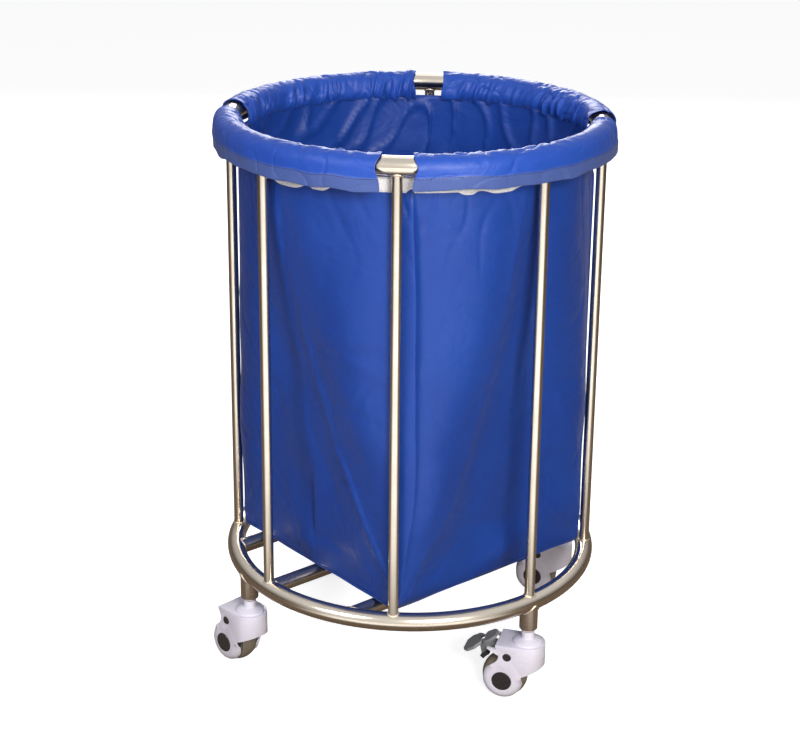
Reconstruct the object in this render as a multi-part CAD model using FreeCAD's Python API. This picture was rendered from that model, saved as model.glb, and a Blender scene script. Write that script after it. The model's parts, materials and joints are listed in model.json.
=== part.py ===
import FreeCAD, Part
import math
import os

# Round linen trolley: a welded cage of two stainless rings and eight uprights on four
# hooded swivel casters, with a coated fabric bag sleeved over the top ring.
# Millimetres, +Z up. The origin is on the floor, on the axis of the rings.
# +X runs along the three base bars.

Vec = FreeCAD.Vector
Z_AXIS = Vec(0, 0, 1)
Y_AXIS = Vec(0, 1, 0)

# --- cage ---
ring_radius = 253.0          # centreline of both rings
ring_tube_d = 25.0
ring_tube_wall = 1.5
ring_spacing = 624.0         # bottom ring centreline to top ring centreline
upright_count = 8
upright_d = 14.0
upright_wall = 1.2
bar_d = 21.0
bar_wall = 1.5
bar_pitch = 129.0            # spacing of the three base bars

# --- caster sockets, welded under the bottom ring ---
caster_angles = (-90.0, 167.0, 90.0, -13.0)     # where each caster stands round the ring
caster_headings = (124.0, 96.0, -20.0, 121.0)   # which way each wheel trails at rest
braked_casters = (1, 3)                         # a diagonal pair
socket_d = 25.0
socket_wall = 2.0
socket_neck_d = 17.0         # the lower end is swaged in to this
socket_neck_h = 4.5
socket_len = 30.0            # underside of the ring to the socket's lower end
socket_gap = 0.6             # socket end to the caster's collar

# --- caster ---
wheel_d = 63.0
tyre_w = 25.0
tyre_h = 6.0                 # tread height over the rim
tyre_crown = 3.0             # how far the tread's middle stands over its shoulders
rim_inset = 1.0              # the rim is this much narrower than the tread, each side
rim_h = 3.0
web_t = 5.0
hub_r = 11.0
hub_w = 32.8
trail = 30.0                 # swivel axis back to the axle
axle_d = 8.0
bush_r = 7.0
running_gap = 0.05           # radial, every turning fit
hood_half_w = 24.5
hood_wall = 3.0
hood_overhang = 10.0         # the roof runs this far past the axle
hood_lip_rise = 22.5         # lower edge of the rounded front, above the axle
cheek_inset = 3.5            # the tread shows this much round the side plates
cheek_boss_r = 15.0
cheek_boss_h = 4.0           # how far the boss stands inside the plate
cheek_flat_r = 17.0          # flat face of each side plate; past it the plate curves in
cheek_rim_gap = 1.0          # curved rim to the tyre's side
cheek_rim_t = 1.6
cheek_starts = (60.0, 160.0) # the hood's outline leaves the wheel circle here, round the axle
cheek_blend = 40.0           # degrees from flat to fully curved at each end
cheek_steps = 16             # sections lofted along the curved plate
hood_back_edge = 4.5         # square edge at the back of the roof
dome_r = 20.0
dome_rim_h = 2.5
dome_h = 7.0
dome_bevel = (2.0, 1.2)      # inwards and up, round the dome's rim
collar_r = 8.8
collar_h = 16.9              # roof to the top of the collar
housing_r = 16.5             # swivel bearing housing under the roof
housing_h = 17.5
housing_lip = 3.0            # below the race
wheel_headroom = 5.0         # top of the wheel to the housing
race_r = 13.0
race_bore_r = 10.2
race_h = 10.0
ball_r = 1.75
ball_count = 10
stem_r = 6.0
stem_track_r = 6.6           # ground track for the balls
stem_head_r = 8.0
stem_head_h = 3.0
stem_bore_gap = 0.4
stem_grip = 24.0             # thread inside the socket's nut
stem_head_gap = 0.5          # bolt head to the housing
washer_rim = 3.0
washer_gap = 0.3             # hub to washer
nut_h = 18.0
cap_r = 14.0
cap_t = 2.0
cap_sink = 1.2
plug_r = 6.0
bolt_head_r = 7.0
bolt_head_h = 3.4
bolt_head_sink = 0.4         # below its cover cap
bolt_head_clear = 0.5        # round it, in the cheek
cap_chamfer = 0.7

# --- brake ---
pivot_ahead = 6.5            # pedal pivot ahead of the axle
pivot_rise = 6.0             # and above the top of the wheel
pivot_r = 2.5
pivot_end_gap = 0.3          # pin's end to its plug
finger_outline = ((-5.0, 9.0), (11.0, 12.5), (12.0, 9.5), (-4.0, 1.0))
                             # from the hood's back edge and the height of the pivot
pedal_hub_r = 4.8
pedal_hub_w = 20.0
pedal_arm_w = 14.0
pedal_t = 4.0
pedal_pads = ((14.0, 20.0, 14.5, 7.0), (10.0, 15.0, -12.0, 2.0), (9.0, 8.0, 0.0, 2.0))
                             # rear pad, front pad, waist: half length, half width, shift, nose
pad_toe = 0.55               # width of a pad's front edge, as a share of its full width
pad_heel = 0.6               # and of its rear edge
pad_full_from = 0.35         # full width from here, as a share of the half length
pedal_slope = 30.0           # the pads lie on this slope, the rear one lower
pedal_reach = 37.5           # pivot to the waist between the two pads
pedal_rise = 8.5
arm_top = ((0.0, 4.8), (12.0, 9.0))                     # side outline of the arm, from the pivot,
arm_waist = ((0.0, 3.0), (5.0, -3.0), (-11.0, -6.0))    # round the waist between the pads,
arm_low = ((12.0, 2.0), (0.0, -1.0))                    # and under, back to the pivot
arm_foot = (-0.6, 0.95)      # part of the shoe's back that the arm holds
arm_foot_bite = 0.8
shoe_angle = 45.0            # round the axle, up from the back
shoe_gap = 5.2               # shoe to tyre, brake off
shoe_t = 6.0
shoe_w = 18.0
shoe_half_angle = 9.0
shoe_space_angle = 16.0      # the arm's foot is hollowed this far round to sit on the shoe

# --- bag ---
cloth = 1.2
bag_corner_clear = 2.75      # floor corners to the uprights or the ring
bag_clear = 0.3
sleeve_count = 4
sleeve_span = 76.0           # degrees; the rest is the notch at a corner upright
sleeve_fit = 1.0             # sleeve to the inside of the ring tube
sleeve_rise = 3.2            # slack over the top of the tube
sleeve_bulge = 21.0          # outer side, from the ring centreline
sleeve_waist = 2.0           # the inner side stands straight up to here
sleeve_crest = 1.0           # the top of the fold, outwards of the centreline
sleeve_side_drop = 4.0       # the outer side hangs straight from here
sleeve_shoulder = (0.68, 0.8)    # shares of the bulge and the crown it passes through
hem_tuck = 2.0               # the hem leans back in
flap_drop = 31.0             # hem below the ring centreline
wall_top_drop = 17.5         # bag wall's top edge below the ring centreline
strip_h = 20.0               # hook-and-loop strip
strip_t = 1.0
strip_gap = 0.4
strip_span = 88.0            # degrees; each quarter's strip stops short of the corner

# --- worked out ---
ring_tube_r = ring_tube_d / 2
upright_angles = [360.0 * i / upright_count for i in range(upright_count)]
axle_z = wheel_d / 2
wheel_r = wheel_d / 2
cheek_r = wheel_r - cheek_inset
hood_back = trail + hood_overhang
hood_lip_z = axle_z + hood_lip_rise
housing_z = wheel_d + wheel_headroom
race_z = housing_z + housing_lip
hood_roof_z = housing_z + housing_h
collar_top_z = hood_roof_z + collar_h
pivot_x = trail - pivot_ahead
pivot_z = wheel_d + pivot_rise
pedal_mid_x = pivot_x + pedal_reach
pedal_mid_z = pivot_z + pedal_rise
cheek_inner = hood_half_w - hood_wall
boss_face = cheek_inner - cheek_boss_h
cheek_rim_y = tyre_w / 2 + cheek_rim_gap
socket_end_z = collar_top_z + socket_gap
bottom_ring_z = socket_end_z + socket_len + ring_tube_r
top_ring_z = bottom_ring_z + ring_spacing
floor_rise = bar_d / 2 + bag_clear
bag_floor_z = bottom_ring_z + floor_rise
ring_reach = math.sqrt(max(0.0, ring_tube_r ** 2 - floor_rise ** 2))
bag_corner_r = ring_radius - max(upright_d / 2, ring_reach) - bag_corner_clear
bag_half = bag_corner_r / math.sqrt(2)
wall_top_r = ring_radius - ring_tube_r - sleeve_fit
wall_top_z = top_ring_z - wall_top_drop


def cylinder(radius, start, end):
    axis = end - start
    return Part.makeCylinder(radius, axis.Length, start, axis)


def tube(radius, wall, start, end):
    axis = end - start
    bore = Part.makeCylinder(radius - wall, axis.Length, start, axis)
    return cylinder(radius, start, end).cut(bore)


def polar(radius, angle, z):
    a = math.radians(angle)
    return Vec(radius * math.cos(a), radius * math.sin(a), z)


def cross_rod(radius, x, z, y0, y1):
    """A round piece across the caster, parallel to its axle."""
    return cylinder(radius, Vec(x, y0, z), Vec(x, y1, z))


def slab(points, y0, y1):
    """A plate of the given side outline, from y0 to y1. Points are (x, z)."""
    corners = [Vec(x, y0, z) for x, z in points]
    face = Part.Face(Part.makePolygon(corners + corners[:1]))
    return face.extrude(Vec(0, y1 - y0, 0))


def turned(points, centre, axis):
    """A closed (radius, height) outline turned about the axis through centre."""
    side = Vec(1, 0, 0)
    corners = [centre + side * r + axis * h for r, h in points]
    face = Part.Face(Part.makePolygon(corners + corners[:1]))
    return face.revolve(centre, axis, 360)


def compound(pieces):
    return Part.makeCompound(pieces)


# ---------------------------------------------------------------- cage

def ring(z):
    outer = Part.makeTorus(ring_radius, ring_tube_r, Vec(0, 0, z), Z_AXIS)
    bore = Part.makeTorus(ring_radius, ring_tube_r - ring_tube_wall, Vec(0, 0, z), Z_AXIS)
    return outer.cut(bore)


def ring_core(z):
    """The solid envelope of a ring, used to cope the tubes that are welded to it."""
    return Part.makeTorus(ring_radius, ring_tube_r, Vec(0, 0, z), Z_AXIS)


def coped(piece, *cores):
    for core in cores:
        piece = piece.cut(core)
    return max(piece.Solids, key=lambda s: s.Volume)


def upright(angle):
    foot = polar(ring_radius, angle, bottom_ring_z)
    head = polar(ring_radius, angle, top_ring_z)
    blank = tube(upright_d / 2, upright_wall, foot, head)
    return coped(blank, ring_core(bottom_ring_z), ring_core(top_ring_z))


def base_bar(y):
    half = math.sqrt(ring_radius ** 2 - y ** 2)
    blank = tube(bar_d / 2, bar_wall, Vec(-half, y, bottom_ring_z), Vec(half, y, bottom_ring_z))
    feet = [cylinder(upright_d / 2, polar(ring_radius, a, bottom_ring_z), polar(ring_radius, a, top_ring_z))
            for a in upright_angles]
    return coped(blank, ring_core(bottom_ring_z), *feet)


def caster_socket(angle):
    """A tube with its lower end swaged to a neck and the weld nut pressed up inside."""
    outer, inner = socket_d / 2, socket_d / 2 - socket_wall
    neck = socket_neck_d / 2
    profile = [(outer, bottom_ring_z), (outer, socket_end_z + socket_neck_h),
               (neck, socket_end_z), (neck - socket_wall, socket_end_z),
               (inner, socket_end_z + socket_neck_h), (inner, bottom_ring_z)]
    blank = turned(profile, polar(ring_radius, angle, 0), Z_AXIS)
    return coped(blank, ring_core(bottom_ring_z))


def socket_nut(angle):
    low = socket_end_z + socket_neck_h
    foot, head = polar(ring_radius, angle, low), polar(ring_radius, angle, low + nut_h)
    return tube(socket_d / 2 - socket_wall, socket_d / 2 - socket_wall - stem_r, foot, head)


# ---------------------------------------------------------------- casters
# Each caster is drawn with its swivel axis on Z and the wheel trailing towards +X.

def hood_outline():
    """The side view of the hood: roof, rounded back notch, wheel cheeks, lip."""
    cheek = Vec(trail, -hood_half_w, axle_z)

    def on_cheek(angle):
        a = math.radians(angle)
        return cheek + Vec(cheek_r * math.cos(a), 0, cheek_r * math.sin(a))

    def at(x, z):
        return Vec(x, -hood_half_w, z)

    back_top = at(hood_back, hood_roof_z - hood_back_edge)
    upper, front = cheek_starts
    edges = [
        Part.makeLine(at(-hood_half_w, hood_lip_z), at(-hood_half_w, hood_roof_z)),
        Part.makeLine(at(-hood_half_w, hood_roof_z), at(hood_back, hood_roof_z)),
        Part.makeLine(at(hood_back, hood_roof_z), back_top),
        Part.Arc(back_top, at(hood_back - hood_back_edge, pivot_z - 1), on_cheek(upper)).toShape(),
        Part.Arc(on_cheek(upper), on_cheek(-upper), on_cheek(front)).toShape(),
        Part.makeLine(on_cheek(front), at(-hood_half_w, hood_lip_z)),
    ]
    return Part.Face(Part.Wire(edges))


def plan_block(radius, back, z0, z1):
    """A stadium-ended block: round at the swivel, straight back past the wheel."""
    round_end = Part.makeCylinder(radius, z1 - z0, Vec(0, 0, z0))
    straight = Part.makeBox(back, 2 * radius, z1 - z0, Vec(0, -radius, z0))
    return round_end.fuse(straight).removeSplitter()


def cheek_section(angle, side, fullness):
    """The side plate's section round the axle at one angle. Past its flat face it curves in
    towards the tyre by its fullness: 0 leaves it flat, 1 brings its rim beside the tyre."""
    a = math.radians(angle)
    steps = [i / 4 for i in range(5)]

    def curve(edge_y, rim_y, rim_r):
        ends = edge_y - fullness * (edge_y - rim_y)
        return [(cheek_flat_r + (rim_r - cheek_flat_r) * math.sin(k * math.pi / 2),
                 ends + (edge_y - ends) * math.cos(k * math.pi / 2)) for k in steps]

    outer = curve(hood_half_w, cheek_rim_y + cheek_rim_t, cheek_r)
    inner = curve(cheek_inner, cheek_rim_y, cheek_r - fullness * cheek_rim_t)
    corners = [Vec(trail + r * math.cos(a), side * y, axle_z + r * math.sin(a))
               for r, y in outer + inner[::-1]]
    return Part.makePolygon(corners + corners[:1])


def cheek_curve(side):
    """The curved lower part of a side plate, blending to flat under the hood's body."""
    upper, front = cheek_starts
    sweep = 360 - (front - upper)
    wires = []
    for i in range(cheek_steps + 1):
        turned_by = sweep * i / cheek_steps
        t = min(1.0, turned_by / cheek_blend, (sweep - turned_by) / cheek_blend)
        wires.append(cheek_section(upper - turned_by, side, t * t * (3 - 2 * t)))
    return Part.makeLoft(wires, True, False)


def cheek_clearance(side):
    """What the curved part takes the place of: the flat plate outside its flat face."""
    upper, front = cheek_starts
    reach = cheek_r + 1
    y0, y1 = side * (cheek_inner - 0.5), side * (hood_half_w + 0.5)
    corners = [Vec(trail + r, y, axle_z) for r, y in
               ((cheek_flat_r, y0), (reach, y0), (reach, y1), (cheek_flat_r, y1))]
    face = Part.Face(Part.makePolygon(corners + corners[:1]))
    block = face.revolve(Vec(trail, 0, axle_z), Y_AXIS, 360 - (front - upper))
    block.rotate(Vec(trail, 0, axle_z), Y_AXIS, -upper)
    return block


def brake_finger(side):
    """A short stop finger behind each cheek that the pedal arm passes between."""
    points = [(hood_back + x, pivot_z + z) for x, z in finger_outline]
    y0, y1 = sorted((side * cheek_inner, side * hood_half_w))
    return slab(points, y0, y1)


def hood(braked):
    far_back = trail + cheek_r + 1
    shell = hood_outline().extrude(Vec(0, 2 * hood_half_w, 0))
    shell = shell.common(plan_block(hood_half_w, far_back, 0, hood_roof_z + 1))
    shell = shell.cut(plan_block(cheek_inner, far_back + 1, -1, hood_roof_z - hood_wall))
    dome = turned([(0, hood_roof_z - 1), (dome_r, hood_roof_z - 1),
                   (dome_r, hood_roof_z + dome_rim_h),
                   (dome_r - dome_bevel[0], hood_roof_z + dome_rim_h + dome_bevel[1]),
                   (collar_r, hood_roof_z + dome_h), (collar_r, collar_top_z), (0, collar_top_z)],
                  Vec(0, 0, 0), Z_AXIS)
    housing = Part.makeCylinder(housing_r, hood_roof_z - housing_z, Vec(0, 0, housing_z))
    shell = shell.fuse([dome, housing])
    for side in (-1, 1):
        shell = shell.cut(cheek_clearance(side)).fuse(cheek_curve(side))
        boss = cross_rod(cheek_boss_r, trail, axle_z, side * boss_face, side * (cheek_inner + 1))
        shell = shell.fuse(boss)
        if braked:
            shell = shell.fuse(brake_finger(side))
    shell = shell.cut(Part.makeCylinder(race_r, race_h, Vec(0, 0, race_z)))
    shell = shell.cut(Part.makeCylinder(race_bore_r, race_z, Vec(0, 0, 0)))
    shell = shell.cut(Part.makeCylinder(stem_track_r + stem_bore_gap, collar_top_z, Vec(0, 0, race_z)))
    for side in (-1, 1):
        face = side * hood_half_w
        shell = shell.cut(cross_rod(axle_d / 2, trail, axle_z, side * (boss_face - 1), face))
        shell = shell.cut(cross_rod(bolt_head_r + bolt_head_clear, trail, axle_z,
                                    side * (hood_half_w - cap_sink - bolt_head_h), face))
        shell = shell.cut(cross_rod(cap_r, trail, axle_z, side * (hood_half_w - cap_sink), face))
        shell = shell.cut(cross_rod(plug_r, pivot_x, pivot_z, side * (hood_half_w - cap_sink), face))
        if braked:
            shell = shell.cut(cross_rod(pivot_r, pivot_x, pivot_z, side * (cheek_inner - 1), face))
    return shell.removeSplitter()


def swivel_bearing():
    """The race pressed into the hood, and its ring of balls."""
    race = tube(race_r, race_r - race_bore_r, Vec(0, 0, race_z), Vec(0, 0, race_z + race_h))
    pitch = (race_bore_r + stem_track_r) / 2
    balls = [Part.makeSphere(ball_r, polar(pitch, 360 * i / ball_count, race_z + race_h / 2))
             for i in range(ball_count)]
    return compound([race] + balls)


def stem():
    """The swivel bolt: head below the housing, ball track, thread up into the socket."""
    head_top = housing_z - stem_head_gap
    top = socket_end_z + socket_neck_h + stem_grip
    profile = [(0, head_top - stem_head_h), (stem_head_r, head_top - stem_head_h),
               (stem_head_r, head_top), (stem_track_r, head_top),
               (stem_track_r, race_z + race_h + 1), (stem_r, race_z + race_h + 1),
               (stem_r, top), (0, top)]
    return turned(profile, Vec(0, 0, 0), Z_AXIS)


def axle_set(braked):
    """Axle bolt, nut and two washers; the braked casters add the pedal's pivot pin."""
    seat = hood_half_w - cap_sink - bolt_head_h
    pieces = [cross_rod(axle_d / 2, trail, axle_z, -seat, seat)]
    for side in (-1, 1):
        corners = [Vec(trail, side * seat, axle_z) + Vec(bolt_head_r * math.cos(math.radians(60 * i)), 0,
                   bolt_head_r * math.sin(math.radians(60 * i))) for i in range(6)]
        hexagon = Part.Face(Part.makePolygon(corners + corners[:1]))
        pieces.append(hexagon.extrude(Vec(0, side * (bolt_head_h - bolt_head_sink), 0)))
        washer = cross_rod(axle_d / 2 + washer_rim, trail, axle_z,
                           side * (hub_w / 2 + washer_gap), side * boss_face)
        pieces.append(washer.cut(cross_rod(axle_d / 2, trail, axle_z, -seat, seat)))
    if braked:
        reach = hood_half_w - cap_sink - pivot_end_gap
        pieces.append(cross_rod(pivot_r, pivot_x, pivot_z, -reach, reach))
    return compound(pieces)


def cover_caps():
    """Two axle covers and two pivot plugs, snapped into the cheeks."""
    pieces = []
    for side in (-1, 1):
        for radius, x, z in ((cap_r, trail, axle_z), (plug_r, pivot_x, pivot_z)):
            low = hood_half_w - cap_sink
            points = [(0, low), (radius, low), (radius, low + cap_t - cap_chamfer),
                      (radius - cap_chamfer, low + cap_t), (0, low + cap_t)]
            pieces.append(turned(points, Vec(x, 0, z), Y_AXIS * side))
    return compound(pieces)


def wheel_core():
    rim_r = wheel_r - tyre_h
    half_tyre = tyre_w / 2 - rim_inset
    half_web = web_t / 2
    half_hub = hub_w / 2
    profile = [(bush_r, -half_hub), (hub_r, -half_hub), (hub_r, -half_web),
               (rim_r - rim_h, -half_web), (rim_r - rim_h, -half_tyre), (rim_r, -half_tyre),
               (rim_r, half_tyre), (rim_r - rim_h, half_tyre), (rim_r - rim_h, half_web),
               (hub_r, half_web), (hub_r, half_hub), (bush_r, half_hub)]
    return turned(profile, Vec(trail, 0, axle_z), Y_AXIS)


def wheel_bush():
    half = hub_w / 2
    bore = axle_d / 2 + running_gap
    return turned([(bore, -half), (bush_r, -half), (bush_r, half), (bore, half)],
                  Vec(trail, 0, axle_z), Y_AXIS)


def tyre():
    """Crowned tread: its section is flat-sided with an arc over the top."""
    centre = Vec(trail, 0, axle_z)
    rim_r = wheel_r - tyre_h
    half = tyre_w / 2
    shoulder = wheel_r - tyre_crown

    def at(radius, y):
        return centre + Vec(radius, y, 0)

    edges = [Part.makeLine(at(rim_r, half), at(rim_r, -half)),
             Part.makeLine(at(rim_r, -half), at(shoulder, -half)),
             Part.Arc(at(shoulder, -half), at(wheel_r, 0), at(shoulder, half)).toShape(),
             Part.makeLine(at(shoulder, half), at(rim_r, half))]
    return Part.Face(Part.Wire(edges)).revolve(centre, Y_AXIS, 360)


def pedal_pad(half_len, half_w, centre_shift, nose):
    """One toe pad lying on the pedal's slope: a plate with a pointed or square end."""
    a = math.radians(pedal_slope)
    along = Vec(math.cos(a), 0, -math.sin(a))
    up = Vec(math.sin(a), 0, math.cos(a))
    middle = Vec(pedal_mid_x, 0, pedal_mid_z) + along * centre_shift
    right = [(-half_len, half_w * pad_toe), (-half_len * pad_full_from, half_w),
             (half_len - nose, half_w), (half_len, half_w * pad_heel)]
    outline = right + [(u, -v) for u, v in reversed(right)]
    corners = [middle + along * u + Vec(0, v, 0) for u, v in outline]
    return Part.Face(Part.makePolygon(corners + corners[:1])).extrude(up * pedal_t)


def brake_pedal():
    hub = cross_rod(pedal_hub_r, pivot_x, pivot_z, -pedal_hub_w / 2, pedal_hub_w / 2)
    waist = [(pedal_mid_x + x, pedal_mid_z + z) for x, z in arm_waist]
    outline = ([(pivot_x + x, pivot_z + z) for x, z in arm_top] + waist[:2]
               + [on_shoe(share) for share in arm_foot] + waist[2:]
               + [(pivot_x + x, pivot_z + z) for x, z in arm_low])
    arm = slab(outline, -pedal_arm_w / 2, pedal_arm_w / 2)
    body = hub.fuse([arm] + [pedal_pad(*sizes) for sizes in pedal_pads])
    bore = cross_rod(pivot_r + running_gap, pivot_x, pivot_z, -pedal_hub_w, pedal_hub_w)
    body = body.cut([bore, shoe_space()])
    return max(body.removeSplitter().Solids, key=lambda s: s.Volume)


def on_shoe(share):
    """A point (x, z) just inside the shoe's back, from -1 at its low end to 1 at its top."""
    a = math.radians(shoe_angle + share * shoe_half_angle)
    r = wheel_r + shoe_gap + shoe_t - arm_foot_bite
    return trail + r * math.cos(a), axle_z + r * math.sin(a)


def shoe_arc(inner, outer, half_angle):
    """A short curved block concentric with the wheel."""
    ring_block = cross_rod(outer, trail, axle_z, -shoe_w / 2, shoe_w / 2)
    ring_block = ring_block.cut(cross_rod(inner, trail, axle_z, -shoe_w, shoe_w))
    a0, a1 = math.radians(shoe_angle - half_angle), math.radians(shoe_angle + half_angle)
    reach = outer * 1.3
    wedge = slab([(trail, axle_z), (trail + reach * math.cos(a0), axle_z + reach * math.sin(a0)),
                  (trail + reach * math.cos(a1), axle_z + reach * math.sin(a1))], -shoe_w / 2, shoe_w / 2)
    return ring_block.common(wedge)


def brake_shoe():
    return shoe_arc(wheel_r + shoe_gap, wheel_r + shoe_gap + shoe_t, shoe_half_angle)


def shoe_space():
    """Round the shoe, cut from the arm's foot so that the two meet face to face."""
    return shoe_arc(axle_d, wheel_r + shoe_gap + shoe_t, shoe_space_angle)


def placed(shape, angle, heading):
    """Stand a caster piece under its socket, trailing towards its heading."""
    foot = polar(ring_radius, angle, 0)
    shape = shape.copy()
    shape.rotate(Vec(0, 0, 0), Z_AXIS, heading)
    shape.translate(foot)
    return shape


# ---------------------------------------------------------------- bag

def bag_wall(quarter):
    """A quarter of the wall: an arc at the top, straight along the floor's edge."""
    a0, a1 = 90 * quarter - 45, 90 * quarter + 45
    low = bag_floor_z + cloth
    edge = bag_half * math.sqrt(2)
    slope = cloth * math.sqrt(2)

    def top_arc(radius):
        middle = polar(radius, 90 * quarter, wall_top_z)
        return Part.Arc(polar(radius, a0, wall_top_z), middle, polar(radius, a1, wall_top_z)).toShape()

    def ring_of(first, second):
        ends = [Part.makeLine(first.Vertexes[-1].Point, second.Vertexes[-1].Point),
                Part.makeLine(second.Vertexes[0].Point, first.Vertexes[0].Point)]
        return Part.Wire(Part.__sortEdges__([first, ends[0], second, ends[1]]))

    top = ring_of(top_arc(wall_top_r), top_arc(wall_top_r - cloth))
    outer = Part.makeLine(polar(edge, a0, low), polar(edge, a1, low))
    inner = Part.makeLine(polar(edge - slope, a0, low), polar(edge - slope, a1, low))
    return Part.makeLoft([top, ring_of(outer, inner)], True, True)


def bag_base():
    side = 2 * bag_half
    return Part.makeBox(side, side, cloth, Vec(-bag_half, -bag_half, bag_floor_z))


def sleeve(quarter):
    """The cloth folded over the ring between two corner uprights, hem outside."""
    inner_x = -(ring_tube_r + sleeve_fit)
    crown = ring_tube_r + sleeve_rise
    drop = -wall_top_drop
    out, up = sleeve_shoulder

    def path(inset):
        """The folded section, drawn from the inner foot over the ring to the hem."""
        foot = (inner_x - cloth + inset, drop)
        waist = (inner_x - cloth + inset, sleeve_waist)
        top = (sleeve_crest, crown + cloth - inset)
        side = (sleeve_bulge - inset, -sleeve_side_drop)
        hem = (sleeve_bulge - hem_tuck - inset, -flap_drop)
        diagonal = inset * math.sqrt(0.5)
        over = (sleeve_bulge * out - diagonal, crown * up + cloth - diagonal)
        return foot, waist, top, over, side, hem

    def at(point):
        return Vec(ring_radius + point[0], 0, top_ring_z + point[1])

    def fold(inset):
        foot, waist, top, over, side, hem = [at(p) for p in path(inset)]
        slack = (sleeve_fit + sleeve_rise) / 2
        bow = (ring_tube_r + slack + cloth - inset) * math.sqrt(0.5)
        left = at((-bow, bow))
        return [Part.makeLine(foot, waist), Part.Arc(waist, left, top).toShape(),
                Part.Arc(top, over, side).toShape(), Part.makeLine(side, hem)]

    outside, inside = fold(0), fold(cloth)
    ends = [Part.makeLine(outside[0].Vertexes[0].Point, inside[0].Vertexes[0].Point),
            Part.makeLine(outside[-1].Vertexes[-1].Point, inside[-1].Vertexes[-1].Point)]
    face = Part.Face(Part.Wire(Part.__sortEdges__(outside + inside + ends)))
    solid = face.revolve(Vec(0, 0, 0), Z_AXIS, sleeve_span)
    solid.rotate(Vec(0, 0, 0), Z_AXIS, 90 * quarter - sleeve_span / 2)
    return solid


def hook_strip(quarter):
    """The strip sewn round the outside of the wall just below the ring."""
    low = wall_top_z - strip_h
    inner = wall_top_r + strip_gap
    face = Part.makePolygon([Vec(inner, 0, low), Vec(inner + strip_t, 0, low),
                             Vec(inner + strip_t, 0, wall_top_z), Vec(inner, 0, wall_top_z),
                             Vec(inner, 0, low)])
    solid = Part.Face(face).revolve(Vec(0, 0, 0), Z_AXIS, strip_span)
    solid.rotate(Vec(0, 0, 0), Z_AXIS, 90 * quarter - strip_span / 2)
    return solid


# ---------------------------------------------------------------- assembly

nodes = {
    "top_ring": ring(top_ring_z),
    "bottom_ring": ring(bottom_ring_z),
    "caster_sockets": compound([caster_socket(a) for a in caster_angles]),
    "socket_nuts": compound([socket_nut(a) for a in caster_angles]),
    "swivel_stems": compound([placed(stem(), a, h) for a, h in zip(caster_angles, caster_headings)]),
    "bag_floor": bag_base(),
    "hook_loop_strip": compound([hook_strip(q) for q in range(sleeve_count)]),
}
for i, angle in enumerate(upright_angles, start=1):
    nodes["upright_%d" % i] = upright(angle)
for i in range(3):
    nodes["base_bar_%d" % (i + 1)] = base_bar((i - 1) * bar_pitch)
for i in range(sleeve_count):
    nodes["bag_wall_%d" % (i + 1)] = bag_wall(i)
    nodes["ring_sleeve_%d" % (i + 1)] = sleeve(i)
for i, (angle, heading) in enumerate(zip(caster_angles, caster_headings), start=1):
    braked = i in braked_casters
    pieces = {"hood": hood(braked), "swivel_bearing": swivel_bearing(), "axle_set": axle_set(braked),
              "cover_caps": cover_caps(), "wheel_core": wheel_core(), "wheel_bush": wheel_bush(),
              "tyre": tyre()}
    if braked:
        pieces["brake_pedal"] = brake_pedal()
        pieces["brake_shoe"] = brake_shoe()
    for name, shape in pieces.items():
        nodes["%s_%d" % (name, i)] = placed(shape, angle, heading)

os.makedirs("parts", exist_ok=True)
for name, shape in nodes.items():
    if not shape.isValid():
        print("not valid:", name)
    for solid in shape.Solids:
        if not solid.isClosed():
            print("not closed:", name)
    shape.exportStep("parts/%s.step" % name)
    print("%-18s solids %2d  volume %10.1f" % (name, len(shape.Solids), shape.Volume))
print("nodes", len(nodes))
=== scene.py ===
import json
import math

import bpy
import numpy as np
from mathutils import Matrix, Vector

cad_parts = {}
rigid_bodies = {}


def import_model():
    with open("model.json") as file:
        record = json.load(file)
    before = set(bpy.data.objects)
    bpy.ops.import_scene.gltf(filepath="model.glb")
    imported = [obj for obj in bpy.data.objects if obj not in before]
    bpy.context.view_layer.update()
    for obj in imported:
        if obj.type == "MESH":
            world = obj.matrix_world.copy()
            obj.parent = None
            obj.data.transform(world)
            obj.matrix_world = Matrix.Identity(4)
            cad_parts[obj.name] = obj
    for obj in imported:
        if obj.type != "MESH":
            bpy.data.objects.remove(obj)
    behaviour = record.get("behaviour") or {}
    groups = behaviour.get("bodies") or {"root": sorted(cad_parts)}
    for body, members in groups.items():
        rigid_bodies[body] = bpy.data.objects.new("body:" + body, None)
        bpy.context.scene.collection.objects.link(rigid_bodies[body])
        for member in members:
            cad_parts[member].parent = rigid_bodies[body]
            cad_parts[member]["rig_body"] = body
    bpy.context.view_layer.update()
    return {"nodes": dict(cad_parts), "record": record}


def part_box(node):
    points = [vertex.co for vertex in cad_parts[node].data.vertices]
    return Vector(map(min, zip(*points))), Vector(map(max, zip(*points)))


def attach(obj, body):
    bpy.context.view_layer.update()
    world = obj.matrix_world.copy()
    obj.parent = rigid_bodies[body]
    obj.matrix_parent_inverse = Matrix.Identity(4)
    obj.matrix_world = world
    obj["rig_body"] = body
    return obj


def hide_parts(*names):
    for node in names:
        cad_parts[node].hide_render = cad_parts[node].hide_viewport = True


# Round linen trolley: the steel cage and casters are the frame's own nodes with better
# finishes; the bag, the sleeves over the ring, the tape, the caster hoods, the pedals and
# the welds are made here. Metres, +Z up, bars along X.

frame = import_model()
nodes = frame["nodes"]


# ------------------------------------------------------------------ sizes, from the frame

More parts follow.
